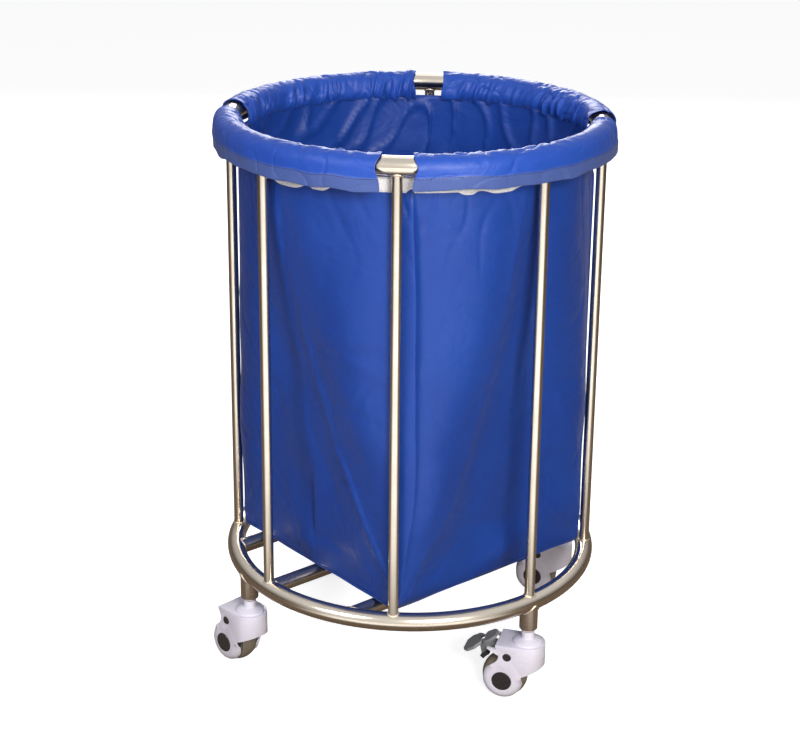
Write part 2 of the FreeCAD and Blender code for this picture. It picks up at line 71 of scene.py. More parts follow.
top_low, top_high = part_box("top_ring")
low_low, low_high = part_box("bottom_ring")
floor_low, floor_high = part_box("bag_floor")
wall_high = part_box("bag_wall_1")[1]
tape_low, tape_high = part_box("hook_loop_strip")
bar_low, bar_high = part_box("base_bar_2")
pipe_r = (top_high.z - top_low.z) / 2
ring_r = top_high.x - pipe_r
top_z = (top_high.z + top_low.z) / 2
low_z = (low_high.z + low_low.z) / 2
upright_r = 0.007            # the frame gives boxes, and an upright's foot is coped
bar_r = (bar_high.z - bar_low.z) / 2
bar_pitch = 0.129
base_half = floor_high.x
base_z = floor_high.z
wall_r = wall_high.x
wall_z = wall_high.z
caster_angles = {1: -90.0, 2: 167.0, 3: 90.0, 4: -13.0}


def mm(value):
    return value / 1000


# ------------------------------------------------------------------ small tools

def colour(code):
    """An sRGB hex colour as linear RGBA: each channel is undone from the sRGB curve."""
    c = np.array([int(code[i:i + 2], 16) for i in (1, 3, 5)]) / 255
    c = np.where(c <= 0.04045, c / 12.92, ((c + 0.055) / 1.055) ** 2.4)
    return (*c, 1.0)


def add(tree, kind, inputs=None, **settings):
    """Add one node. Settings are its properties; inputs are its sockets by name or number,
    each a plain value or another node's output to link."""
    made = tree.nodes.new(kind)
    for name, value in settings.items():
        setattr(made, name, value)
    for name, value in (inputs or {}).items():
        if isinstance(value, bpy.types.NodeSocket):
            tree.links.new(value, made.inputs[name])
        else:
            made.inputs[name].default_value = value
    return made


def new_material(name):
    """An empty material with its shader and output; returns the tree and the shader."""
    material = bpy.data.materials.new(name)
    material.use_nodes = True
    material.node_tree.nodes.clear()
    tree = material.node_tree
    shader = add(tree, "ShaderNodeBsdfPrincipled")
    add(tree, "ShaderNodeOutputMaterial", {"Surface": shader.outputs[0]})
    return material, tree, shader


def smooth_step(x):
    """0 below 0, 1 above 1, and the cubic 3x^2 - 2x^3 between."""
    x = np.clip(x, 0, 1)
    return x * x * (3 - 2 * x)


def grid_piece(name, points, material, uv, around=False, offset=-1.0):
    """A sheet 1 mm thick from a grid of points (rows, columns, 3) with its UV in metres.
    Faces join neighbours, and the last column joins the first if it goes around."""
    rows, columns = points.shape[:2]
    index = np.arange(rows * columns).reshape(rows, columns)
    left = index if around else index[:, :-1]
    right = np.roll(index, -1, 1) if around else index[:, 1:]
    faces = np.stack([left[:-1], right[:-1], right[1:], left[1:]], -1).reshape(-1, 4).tolist()
    mesh = bpy.data.meshes.new(name)
    mesh.from_pydata(points.reshape(-1, 3).tolist(), [], faces)
    loops = np.zeros(len(mesh.loops), np.int32)
    mesh.loops.foreach_get("vertex_index", loops)
    quads = uv.reshape(-1, 2)[loops].reshape(-1, 4, 2)
    # in a closed sheet the last column's faces meet the first a whole turn further on
    back = quads[:, 1, 0] < quads[:, 0, 0]
    turn = uv[0, -1, 0] + uv[0, 1, 0] - 2 * uv[0, 0, 0]
    quads[back, 1:3, 0] += turn if around else 0.0
    mesh.uv_layers.new(name="cloth_m").data.foreach_set("uv", quads.ravel())
    mesh.polygons.foreach_set("use_smooth", [True] * len(mesh.polygons))
    mesh.materials.append(material)
    mesh.update()
    piece = bpy.data.objects.new(name, mesh)
    bpy.context.scene.collection.objects.link(piece)
    solid = piece.modifiers.new("cloth thickness", "SOLIDIFY")
    solid.thickness = mm(1.0)
    solid.offset = offset
    solid.use_even_offset = False
    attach(piece, "frame")
    return piece


def join_grids(name, grids, material, body="frame"):
    """One piece from several closed tubes of points, each (rings, sides, 3), end rings
    closed by a face, or a torus where the last ring joins the first."""
    vertices, faces, start = [], [], 0
    for points, loop in grids:
        rows, columns = points.shape[:2]
        index = start + np.arange(rows * columns).reshape(rows, columns)
        below = index if loop else index[:-1]
        above = np.roll(index, -1, 0) if loop else index[1:]
        turned = np.roll(index, -1, 1)
        over = turned if loop else turned[:-1]
        above_over = np.roll(turned, -1, 0) if loop else turned[1:]
        faces += np.stack([below, over, above_over, above], -1).reshape(-1, 4).tolist()
        if not loop:
            faces += [index[0, ::-1].tolist(), index[-1].tolist()]
        vertices.append(points.reshape(-1, 3))
        start += rows * columns
    mesh = bpy.data.meshes.new(name)
    mesh.from_pydata(np.concatenate(vertices).tolist(), [], faces)
    mesh.polygons.foreach_set("use_smooth", [True] * len(mesh.polygons))
    mesh.materials.append(material)
    mesh.update()
    piece = bpy.data.objects.new(name, mesh)
    bpy.context.scene.collection.objects.link(piece)
    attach(piece, body)
    return piece


def curve_through(points, count):
    """A smooth line through the points: a Catmull-Rom spline, where each span is the cubic
    whose end slopes are half the difference of the neighbours on either side."""
    p = np.asarray(points, float)
    p = np.concatenate([2 * p[:1] - p[1:2], p, 2 * p[-1:] - p[-2:-1]])
    t = np.linspace(0, len(points) - 1, count)
    k = np.minimum(t.astype(int), len(points) - 2)
    f = (t - k)[:, None]
    a, b, c, d = p[k], p[k + 1], p[k + 2], p[k + 3]
    return 0.5 * (2 * b + (c - a) * f + (2 * a - 5 * b + 4 * c - d) * f ** 2
                  + (3 * b - a - 3 * c + d) * f ** 3)


def tube_along(centre, radius, sides, loop):
    """A round tube carried along a line: at each point a circle of the given radius in the
    plane across the line, held level by the direction least along it."""
    along = np.roll(centre, -1, 0) - np.roll(centre, 1, 0) if loop else np.gradient(centre, axis=0)
    along /= np.linalg.norm(along, axis=1, keepdims=True)
    guide = np.array([0.0, 0.0, 1.0]) + 0.03 * np.array([1.0, 0.4, 0.0])
    side = np.cross(along, guide)
    side /= np.linalg.norm(side, axis=1, keepdims=True)
    up = np.cross(side, along)
    turn = np.linspace(0, 2 * math.pi, sides, endpoint=False)
    size = np.broadcast_to(np.asarray(radius, float), (len(centre),))[:, None, None]
    return (centre[:, None] + size * (np.cos(turn)[None, :, None] * side[:, None]
                                      + np.sin(turn)[None, :, None] * up[:, None]))


# ------------------------------------------------------------------ materials

def stainless_tube():
    """Grade 304 stainless tube, polished with a belt: a warm grey metal whose fine lines
    run along the tube and stretch each highlight across it."""
    material, tree, shader = new_material("polished stainless 304")
    place = add(tree, "ShaderNodeTexCoord")
    # belt lines are 0.05 mm apart; drawn 0.8 mm apart so that they show at all
    lines = add(tree, "ShaderNodeMapping", {0: place.outputs["Object"], "Scale": (1200, 1200, 14)})
    belt = add(tree, "ShaderNodeTexNoise", {"Vector": lines.outputs[0], "Scale": 1.0, "Detail": 3.0})
    # handling marks and dull patches, about 60 mm across
    marks = add(tree, "ShaderNodeTexNoise", {"Vector": place.outputs["Object"], "Scale": 16.0,
                                             "Detail": 5.0, "Roughness": 0.62})
    both = add(tree, "ShaderNodeMix", {0: 0.55, 2: belt.outputs[0], 3: marks.outputs[0]})
    rough = add(tree, "ShaderNodeMapRange", {0: both.outputs[0], 1: 0.3, 2: 0.7, 3: 0.13, 4: 0.3})
    tint = add(tree, "ShaderNodeMix", {0: marks.outputs[0], 6: colour("#d9d0c3"),
                                       7: colour("#bfb4a4")}, data_type="RGBA")
    relief = add(tree, "ShaderNodeBump", {"Strength": 0.12, "Distance": mm(0.05),
                                          "Height": belt.outputs[0]})
    tree.links.new(tint.outputs[2], shader.inputs["Base Color"])
    tree.links.new(rough.outputs[0], shader.inputs["Roughness"])
    tree.links.new(relief.outputs[0], shader.inputs["Normal"])
    shader.inputs["Metallic"].default_value = 1.0
    return material


def weld_metal():
    """TIG weld in stainless, wire brushed: brighter and rougher than the tube, with a
    straw tint in patches from the heat."""
    material, tree, shader = new_material("TIG weld in stainless")
    place = add(tree, "ShaderNodeTexCoord")
    heat = add(tree, "ShaderNodeTexNoise", {"Vector": place.outputs["Object"], "Scale": 60.0,
                                            "Detail": 3.0})
    grit = add(tree, "ShaderNodeTexNoise", {"Vector": place.outputs["Object"], "Scale": 900.0,
                                            "Detail": 2.0})
    tint = add(tree, "ShaderNodeMix", {0: heat.outputs[0], 6: colour("#e6e2da"),
                                       7: colour("#b9a07a")}, data_type="RGBA")
    rough = add(tree, "ShaderNodeMapRange", {0: heat.outputs[0], 3: 0.22, 4: 0.5})
    relief = add(tree, "ShaderNodeBump", {"Strength": 0.35, "Distance": mm(0.2),
                                          "Height": grit.outputs[0]})
    tree.links.new(tint.outputs[2], shader.inputs["Base Color"])
    tree.links.new(rough.outputs[0], shader.inputs["Roughness"])
    tree.links.new(relief.outputs[0], shader.inputs["Normal"])
    shader.inputs["Metallic"].default_value = 1.0
    return material


def coated_oxford(name, light, dark, hem_from=None):
    """Polyurethane-coated Oxford polyester: an even royal blue with a dull sheen, a fine
    basket weave under the coating, and shallow crumples that never press out. A hem is two
    layers thick, and its band is coloured a paler grey-blue."""
    material, tree, shader = new_material(name)
    place = add(tree, "ShaderNodeTexCoord")
    cloth = add(tree, "ShaderNodeUVMap", uv_map="cloth_m")
    parts = add(tree, "ShaderNodeSeparateXYZ", {0: cloth.outputs[0]})
    # 600D threads sit 0.45 mm apart; drawn 1.5 mm apart so that the weave shows
    waves = []
    for axis in (0, 1):
        turn = add(tree, "ShaderNodeMath", {0: parts.outputs[axis], 1: 2 * math.pi / mm(1.5)},
                   operation="MULTIPLY")
        waves.append(add(tree, "ShaderNodeMath", {0: turn.outputs[0]}, operation="SINE"))
    weave = add(tree, "ShaderNodeMath", {0: waves[0].outputs[0], 1: waves[1].outputs[0]},
                operation="MULTIPLY")
    broad = add(tree, "ShaderNodeTexNoise", {"Vector": place.outputs["Object"], "Scale": 5.5,
                                             "Detail": 4.0, "Roughness": 0.55})
    crumple = add(tree, "ShaderNodeTexNoise", {"Vector": place.outputs["Object"], "Scale": 17.0,
                                               "Detail": 5.0, "Roughness": 0.5,
                                               "Distortion": 0.6})
    base = add(tree, "ShaderNodeMix", {0: broad.outputs[0], 6: colour(light), 7: colour(dark)},
               data_type="RGBA")
    thread = add(tree, "ShaderNodeMapRange", {0: weave.outputs[0], 1: -1.0, 2: 1.0, 3: 0.0, 4: 0.09})
    woven = add(tree, "ShaderNodeMix", {0: thread.outputs[0], 6: base.outputs[2],
                                        7: colour("#3f5fc0")}, data_type="RGBA")
    tone = woven
    rough = add(tree, "ShaderNodeMapRange", {0: crumple.outputs[0], 1: 0.25, 2: 0.75, 3: 0.38,
                                             4: 0.52})
    if hem_from is not None:
        # the UV's height starts at the hem; the doubled band ends at hem_from
        band = add(tree, "ShaderNodeMapRange", {0: parts.outputs[1], 1: hem_from + mm(0.8),
                                                2: hem_from - mm(0.8), 3: 0.0, 4: 0.75})
        tone = add(tree, "ShaderNodeMix", {0: band.outputs[0], 6: woven.outputs[2],
                                           7: colour("#4b5b8c")}, data_type="RGBA")
        # a row of 3 mm stitches every 4.5 mm, 1.5 mm inside the fold
        row = add(tree, "ShaderNodeMath", {0: parts.outputs[1], 1: hem_from - mm(1.5),
                                           2: mm(0.45)}, operation="COMPARE")
        beat = add(tree, "ShaderNodeMath", {0: parts.outputs[0], 1: mm(4.5)}, operation="MODULO")
        dash = add(tree, "ShaderNodeMath", {0: beat.outputs[0], 1: mm(3.0)}, operation="LESS_THAN")
        stitch = add(tree, "ShaderNodeMath", {0: row.outputs[0], 1: dash.outputs[0]},
                     operation="MULTIPLY")
        tone = add(tree, "ShaderNodeMix", {0: stitch.outputs[0], 6: tone.outputs[2],
                                           7: colour("#16245a")}, data_type="RGBA")
    fine = add(tree, "ShaderNodeBump", {"Strength": 0.25, "Distance": mm(0.08),
                                        "Height": weave.outputs[0]})
    relief = add(tree, "ShaderNodeBump", {"Strength": 0.65, "Distance": mm(6),
                                          "Height": crumple.outputs[0],
                                          "Normal": fine.outputs[0]})
    tree.links.new(tone.outputs[2], shader.inputs["Base Color"])
    tree.links.new(rough.outputs[0], shader.inputs["Roughness"])
    tree.links.new(relief.outputs[0], shader.inputs["Normal"])
    shader.inputs["Sheen Weight"].default_value = 0.06
    shader.inputs["Sheen Roughness"].default_value = 0.4
    shader.inputs["Specular IOR Level"].default_value = 0.3
    return material


def hook_tape():
    """Woven nylon hook tape: clean white, matt, with rows of small hooks. Its fine speckle is
    painted light: a painted glint at each hook, and painted shade, greyer, between them."""
    material, tree, shader = new_material("white nylon hook tape")
    place = add(tree, "ShaderNodeTexCoord")
    # hooks stand 1.2 mm apart; drawn 1.6 mm apart so that they show
    hooks = add(tree, "ShaderNodeTexVoronoi", {"Vector": place.outputs["Object"],
                                               "Scale": 1 / mm(1.6)})
    # painted glint at each hook, and painted shade between the hooks
    tone = add(tree, "ShaderNodeMix", {0: hooks.outputs[0], 6: colour("#f2f1f2"),
                                       7: colour("#c3c2c9")}, data_type="RGBA")
    relief = add(tree, "ShaderNodeBump", {"Strength": 0.6, "Distance": mm(0.5),
                                          "Height": hooks.outputs[0]})
    tree.links.new(tone.outputs[2], shader.inputs["Base Color"])
    tree.links.new(relief.outputs[0], shader.inputs["Normal"])
    shader.inputs["Roughness"].default_value = 0.85
    return material


def moulded(name, light, dark, rough_low, rough_high, grain_mm, depth_mm, coat=0.0, patch=30.0):
    """Injection-moulded plastic or rubber: two close tones in soft patches, and the mould's
    fine grain, which breaks up the highlight."""
    material, tree, shader = new_material(name)
    place = add(tree, "ShaderNodeTexCoord")
    patches = add(tree, "ShaderNodeTexNoise", {"Vector": place.outputs["Object"], "Scale": patch,
                                               "Detail": 4.0})
    grain = add(tree, "ShaderNodeTexNoise", {"Vector": place.outputs["Object"],
                                             "Scale": 1 / mm(grain_mm), "Detail": 2.0})
    tone = add(tree, "ShaderNodeMix", {0: patches.outputs[0], 6: colour(light), 7: colour(dark)},
               data_type="RGBA")
    rough = add(tree, "ShaderNodeMapRange", {0: patches.outputs[0], 1: 0.3, 2: 0.7,
                                             3: rough_low, 4: rough_high})
    relief = add(tree, "ShaderNodeBump", {"Strength": 0.3, "Distance": mm(depth_mm),
                                          "Height": grain.outputs[0]})
    tree.links.new(tone.outputs[2], shader.inputs["Base Color"])
    tree.links.new(rough.outputs[0], shader.inputs["Roughness"])
    tree.links.new(relief.outputs[0], shader.inputs["Normal"])
    shader.inputs["Coat Weight"].default_value = coat
    shader.inputs["Coat Roughness"].default_value = 0.12
    return material


def zinc_plate():
    """Bright zinc-plated steel: bluish grey metal with a slightly cloudy, spangled shine."""
    material, tree, shader = new_material("zinc plated steel")
    place = add(tree, "ShaderNodeTexCoord")
    spangle = add(tree, "ShaderNodeTexVoronoi", {"Vector": place.outputs["Object"],
                                                 "Scale": 1 / mm(2.5)})
    tone = add(tree, "ShaderNodeMix", {0: spangle.outputs[0], 6: colour("#d3d5d6"),
                                       7: colour("#a3a8ac")}, data_type="RGBA")
    rough = add(tree, "ShaderNodeMapRange", {0: spangle.outputs[0], 3: 0.25, 4: 0.42})
    tree.links.new(tone.outputs[2], shader.inputs["Base Color"])
    tree.links.new(rough.outputs[0], shader.inputs["Roughness"])
    shader.inputs["Metallic"].default_value = 1.0
    return material


finish = {
    "stainless_steel": stainless_tube(),
    "zinc_steel": zinc_plate(),
    "bag_cloth": coated_oxford("coated Oxford cloth", "#154298", "#0f2f7c"),
    "hook_tape": hook_tape(),
    # glossy white polyamide: clean highlights with the faintest violet-grey shade
    "hood_plastic": moulded("moulded white polyamide", "#e3e0ee", "#d5d3e3", 0.24, 0.34,
                            0.6, 0.03, coat=0.25),
    "wheel_plastic": moulded("moulded grey polypropylene", "#c9c8c6", "#b9b8b5", 0.4, 0.5,
                             0.5, 0.04),
    # thermoplastic rubber tread: beige grey, matt, dusty where it has rolled
    "tread_rubber": moulded("thermoplastic rubber tread", "#857b6e", "#665d51", 0.62, 0.8,
                            0.9, 0.15, patch=90.0),
    # glossy black ABS covers: deep, with one small sharp highlight
    "black_plastic": moulded("moulded black ABS", "#302d2f", "#262426", 0.22, 0.34, 0.7, 0.02,
                             coat=0.2),
    # glass-filled polyamide: dark grey, semi-matt, with a coarser grain
    "pedal_plastic": moulded("glass-filled polyamide", "#83868a", "#707377", 0.38, 0.5,
                             0.8, 0.08),
    "shoe_rubber": moulded("moulded nitrile rubber", "#242322", "#1b1a19", 0.6, 0.75, 0.6, 0.1),
    "bush_nylon": moulded("turned natural nylon", "#e4dfd2", "#d8d2c2", 0.4, 0.5, 0.4, 0.03),
}
# the sleeves are the bag's own cloth drawn a lighter blue: painted light, standing for the extra light on
# flaps that face up and to the front
sleeve_cloth = coated_oxford("coated Oxford cloth, hemmed, painted lighter", "#2450b2", "#1a3f98",
                             hem_from=mm(18))
weld_finish = weld_metal()

for part in frame["record"]["subparts"]:
    mesh = nodes[part["node"]].data
    mesh.materials.clear()
    mesh.materials.append(finish[part["material_slot"]])


# ------------------------------------------------------------------ bag

def wall_section(height, across):
    """The bag's outline at a height from 0 (floor) to 1 (ring): a square of half side
    a = (1-h) base + h wall_r with corners of radius h wall_r. It opens from the floor's
    square to the ring's circle in flat triangles and cones, as flat cloth does. Across runs
    from 0 to 4, a whole number at each corner."""
    flat = (1 - height) * base_half
    radius = height * wall_r
    length = flat + radius * math.pi / 4
    side = np.floor(across + 1e-9)
    local = (across - side) * 2 - 1
    run = np.abs(local) * length
    turn = np.where(run > flat, (run - flat) / np.maximum(radius, 1e-6), 0.0)
    out = flat + radius * np.cos(turn)
    over = np.sign(local) * (np.minimum(run, flat) + radius * np.sin(turn))
    angle = side * math.pi / 2
    x = out * np.cos(angle) - over * np.sin(angle)
    y = out * np.sin(angle) + over * np.cos(angle)
    return x, y, local


def ridge(distance, half_width):
    """A sewn or pressed crease: 1 on the line, falling off as exp(-|d|/w), rounded on top."""
    return np.exp(-(np.sqrt(distance ** 2 + (0.25 * half_width) ** 2) - 0.25 * half_width)
                  / half_width)


def soft_noise(x, y, seed, waves=7):
    """Smooth random relief between about -1 and 1: a sum of plane waves with seeded
    directions, lengths and phases."""
    rng = np.random.default_rng(seed)
    total = np.zeros(np.broadcast(x, y).shape)
    for _ in range(waves):
        direction, length, phase = rng.uniform(0, 2 * math.pi), rng.uniform(0.6, 1.7), rng.uniform(0, 6.3)
        total = total + np.sin((x * math.cos(direction) + y * math.sin(direction))
                               * 2 * math.pi / length + phase)
    return total / math.sqrt(waves * 1.6)


def wrinkles(x, y, seed, width=0.16):
    """Thin curved creases: 1 along the lines where the noise passes through zero, falling
    off either side as exp(-|n|/w)."""
    return np.exp(-np.abs(soft_noise(x, y, seed)) / width)


# single folds of the walls: panel, then start and end as (across -1 to 1, height 0 to 1),
# half width and height in mm; a valley has a height below 0
FOLD_DEPTH = 1.4             # all heights are raised by this
FOLDS = (
    (2, 0.98, 0.03, 0.62, 0.17, 3.2, 5.2), (2, 0.62, 0.17, 0.32, 0.33, 3.2, 5.2),
    (2, 0.32, 0.33, 0.12, 0.58, 7.0, 3.4), (2, 0.12, 0.58, -0.02, 0.93, 16.0, 2.6),
    (2, 0.45, 0.12, 0.05, 0.34, 16.0, -3.0), (2, 0.9, 0.55, 0.35, 0.6, 9.0, 1.6),
    (2, -0.95, 0.04, -0.6, 0.16, 7.0, 3.0), (2, -0.6, 0.03, 0.2, 0.06, 12.0, 2.0),
    (3, -0.97, 0.04, -0.6, 0.24, 9.0, 3.0), (3, -0.6, 0.24, -0.3, 0.52, 14.0, 3.0),
    (3, -0.3, 0.52, -0.12, 0.95, 15.0, 3.2), (3, -0.9, 0.03, -0.78, 0.12, 5.0, 3.0),
    (3, 0.95, 0.03, 0.3, 0.2, 10.0, 4.0), (3, 0.95, 0.12, 0.3, 0.3, 12.0, -4.0),
    (3, 0.92, 0.22, 0.45, 0.45, 11.0, 3.0), (3, -0.1, 0.03, 0.5, 0.09, 14.0, 4.0),
    (3, -0.25, 0.14, 0.2, 0.12, 12.0, -3.0), (3, 0.1, 0.35, 0.16, 0.9, 10.0, -2.6),
    (0, 0.97, 0.03, 0.5, 0.22, 6.0, 3.6), (0, 0.5, 0.22, 0.15, 0.5, 9.0, 3.0),
    (0, -0.97, 0.04, -0.4, 0.3, 9.0, 3.4), (0, -0.3, 0.6, -0.2, 0.95, 14.0, 3.0),
    (0, 0.5, 0.5, 0.8, 0.9, 12.0, 2.4), (1, 0.96, 0.03, 0.35, 0.25, 9.0, 3.4),
    (1, -0.97, 0.04, -0.5, 0.2, 6.0, 3.8), (1, -0.5, 0.2, -0.15, 0.46, 9.0, 3.0),
    (1, 0.3, 0.55, 0.15, 0.95, 13.0, 3.0), (1, -0.8, 0.5, -0.45, 0.9, 12.0, -2.6),
)


def bag_walls():
    """The four sewn wall panels as one hanging shell. To the section above are added slack in
    the flat triangles, a pinched ridge exp(-|d|/w) on each corner seam, single folds, hanging
    waves and crumples from the seeded noise, gathers under the ring, the line where the bag
    was packed flat, and the front seam's swing to one side."""
    columns, rows = 480, 97
    # columns crowd towards the corner seams, where the creases are sharp
    step = np.arange(columns) / (columns / 4)
    inside = (step - np.floor(step)) * 2 - 1
    across = np.floor(step) + (np.sin(inside * math.pi / 2) * 0.62 + inside * 0.38 + 1) / 2
    height = np.linspace(0, 1, rows)[:, None]
    across = np.broadcast_to(across, (rows, columns))
    x, y, local = wall_section(height, across)
    angle = np.arctan2(y, x)
    reach = np.hypot(x, y)
    # corner numbers: side 0 faces +X, and the front corner is between sides 2 and 3
    side = np.floor(across + 1e-9)
    tall = wall_z - base_z
    z = base_z + height * tall
    # distance in metres along the cloth from the nearest corner seam
    length = (1 - height) * base_half + height * wall_r * math.pi / 4
    from_seam = (1 - np.abs(local)) * length
    push = np.zeros_like(reach)
    # each panel's flat triangle hangs slack, and the cones beside it stay round
    flat = (1 - height) * base_half
    run = np.abs(local) * length
    slack = smooth_step((flat - run) / 0.07) * np.sin(math.pi * np.clip(height * 1.05, 0, 1))
    push -= mm(9) * slack
    push += mm(2.5) * np.exp(-((run - flat - mm(40)) / mm(45)) ** 2) \
        * smooth_step(height * 5) * smooth_step((1 - height) * 5)
    # the corner seams: a pinched ridge, steep on one side and slow on the other
    signed = np.where(local > 0, -from_seam, from_seam)
    front = ((side == 2) & (local > 0)) | ((side == 3) & (local < 0))
    lean = np.where(signed < 0, np.where(front, mm(13), mm(6)), mm(3.6))
    fin = np.where(front, mm(9.5), mm(3.8)) * ridge(signed, lean)
    push += fin * smooth_step(height * 10) * smooth_step((1 - height) * 9)
    # single folds, each a ridge along a line across one panel
    for panel, x0, h0, x1, h1, width, high in FOLDS:
        ax, az = x0 * length, h0 * tall
        bx, bz = x1 * length, h1 * tall
        px, pz = local * length - ax, height * tall - az
        dx, dz = bx - ax, bz - az
        share = np.clip((px * dx + pz * dz) / (dx * dx + dz * dz), 0, 1)
        away = np.hypot(px - share * dx, pz - share * dz)
        ends = 0.45 + 0.55 * np.sin(math.pi * share)
        push += np.where(side == panel, mm(FOLD_DEPTH * high) * ends * ridge(away, mm(width)), 0.0)
    # folds that hang from the ring and fade downwards, and crumples near the floor
    around = angle * wall_r
    push += mm(2.3) * soft_noise(around / 0.11, z / 0.5, 3) \
        * smooth_step((height - 0.25) / 0.5) * smooth_step((1 - height) * 7)
    push += mm(3.2) * soft_noise(around / 0.16, z / 0.13, 11) \
        * (1 - smooth_step((height - 0.15) / 0.5)) * smooth_step(height * 14)
    # gathers under the ring, pulled inwards where the wall is eased onto the sleeve; the
    # two panels at the back hang loose and gather most
    loose = np.where(side < 2, 1.0, 0.3)
    push -= mm(7) * loose * wrinkles(around / 0.09, z / 0.13 + around / 0.2, 21, 0.1) \
        * smooth_step((height - 0.7) / 0.22)
    push -= mm(2.2) * wrinkles(around / 0.2, z / 0.16, 33, 0.07) * smooth_step(from_seam / 0.03) \
        * (1 - smooth_step((height - 0.5) / 0.3))
    # a shallow fold line across the panels where the bag was packed flat
    packed = ridge(z - (base_z + tall * 0.62) - mm(4) * np.sin(around / 0.06), mm(6))
    push += mm(0.9) * packed * smooth_step(from_seam / 0.03)
    # the front seam is pulled round towards the next upright
    from_front = (angle + 3 * math.pi / 4 + math.pi) % (2 * math.pi) - math.pi
    swing = math.radians(5.6) * np.exp(-(from_front / math.radians(38)) ** 2)
    swing = swing * (0.3 + 0.7 * smooth_step(height / 0.35)) * smooth_step(height * 30 + 0.2) \
        * (1 - 0.25 * smooth_step((height - 0.7) / 0.3))
    angle = angle + swing
    reach = reach + push
    # inside the uprights everywhere
    near = np.cos(8 * angle) ** 8 * (np.cos(8 * angle) > 0)
    reach = np.minimum(reach, ring_r - upright_r - mm(2.2) + (1 - near) * mm(7))
    points = np.stack([reach * np.cos(angle), reach * np.sin(angle), z + 0 * reach], -1)
    along = np.broadcast_to((across * 2 * length.mean()), across.shape)
    uv = np.stack([along, np.broadcast_to(height * tall, across.shape)], -1)
    piece = grid_piece("bag_walls", points, finish["bag_cloth"], uv, around=True)
    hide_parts("bag_wall_1", "bag_wall_2", "bag_wall_3", "bag_wall_4")


def bag_base():
    """The floor panel: a square that lies on the three bars and dips between them as
    1 - cos of the way from bar to bar, with a little crumple, and rises at its sewn edge."""
    count = 90
    line = np.linspace(-1, 1, count) * (base_half - mm(1.5))
    x, y = np.meshgrid(line, line, indexing="xy")
    dip = (1 - np.cos(y / bar_pitch * 2 * math.pi)) / 2
    edge = np.minimum(base_half - np.abs(x), base_half - np.abs(y))
    calm = smooth_step(edge / 0.04)
    z = floor_low.z + mm(0.4) - mm(4.5) * dip * calm * (np.abs(y) < bar_pitch)
    z = z + mm(1.4) * (soft_noise(x / 0.12, y / 0.12, 5) * 0.5 + 0.7) * calm
    points = np.stack([x, y, z], -1)
    uv = np.stack([x + base_half, y + base_half], -1)
    piece = grid_piece("bag_base", points, finish["bag_cloth"], uv, offset=1.0)
    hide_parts("bag_floor")


def base_welt():
    """The bound seam between walls and floor: a 3 mm cord-like edge round the square, its
    corners rounded to 5 mm."""
    corner = mm(5)
    half = base_half - mm(0.6)
    turn = np.linspace(0, math.pi / 2, 7)
    parts = []
    for quarter in range(4):
        a = quarter * math.pi / 2
        arc_x = half - corner + corner * np.cos(turn)
        arc_y = half - corner + corner * np.sin(turn)
        flat_y = np.linspace(-(half - corner), half - corner, 60)[:-1]
        lx = np.concatenate([np.full(flat_y.shape, half), arc_x[:-1]])
        ly = np.concatenate([flat_y, arc_y[:-1]])
        parts.append(np.stack([lx * math.cos(a) - ly * math.sin(a),
                               lx * math.sin(a) + ly * math.cos(a)], -1))
    plan = np.concatenate(parts)
    z = base_z + mm(0.8) + mm(0.7) * soft_noise(plan[:, 0] / 0.09, plan[:, 1] / 0.09, 8)
    centre = np.column_stack([plan, z])
    piece = join_grids("bag_base_welt", [(tube_along(centre, mm(1.5), 10, True), True)],
                       finish["bag_cloth"])
    mesh = piece.data
    co = np.zeros(len(mesh.vertices) * 3)
    mesh.vertices.foreach_get("co", co)
    loops = np.zeros(len(mesh.loops), np.int32)
    mesh.loops.foreach_get("vertex_index", loops)
    co = co.reshape(-1, 3)
    flat = np.column_stack([co[:, 0] + co[:, 1], co[:, 2]])
    mesh.uv_layers.new(name="cloth_m").data.foreach_set("uv", flat[loops].ravel())


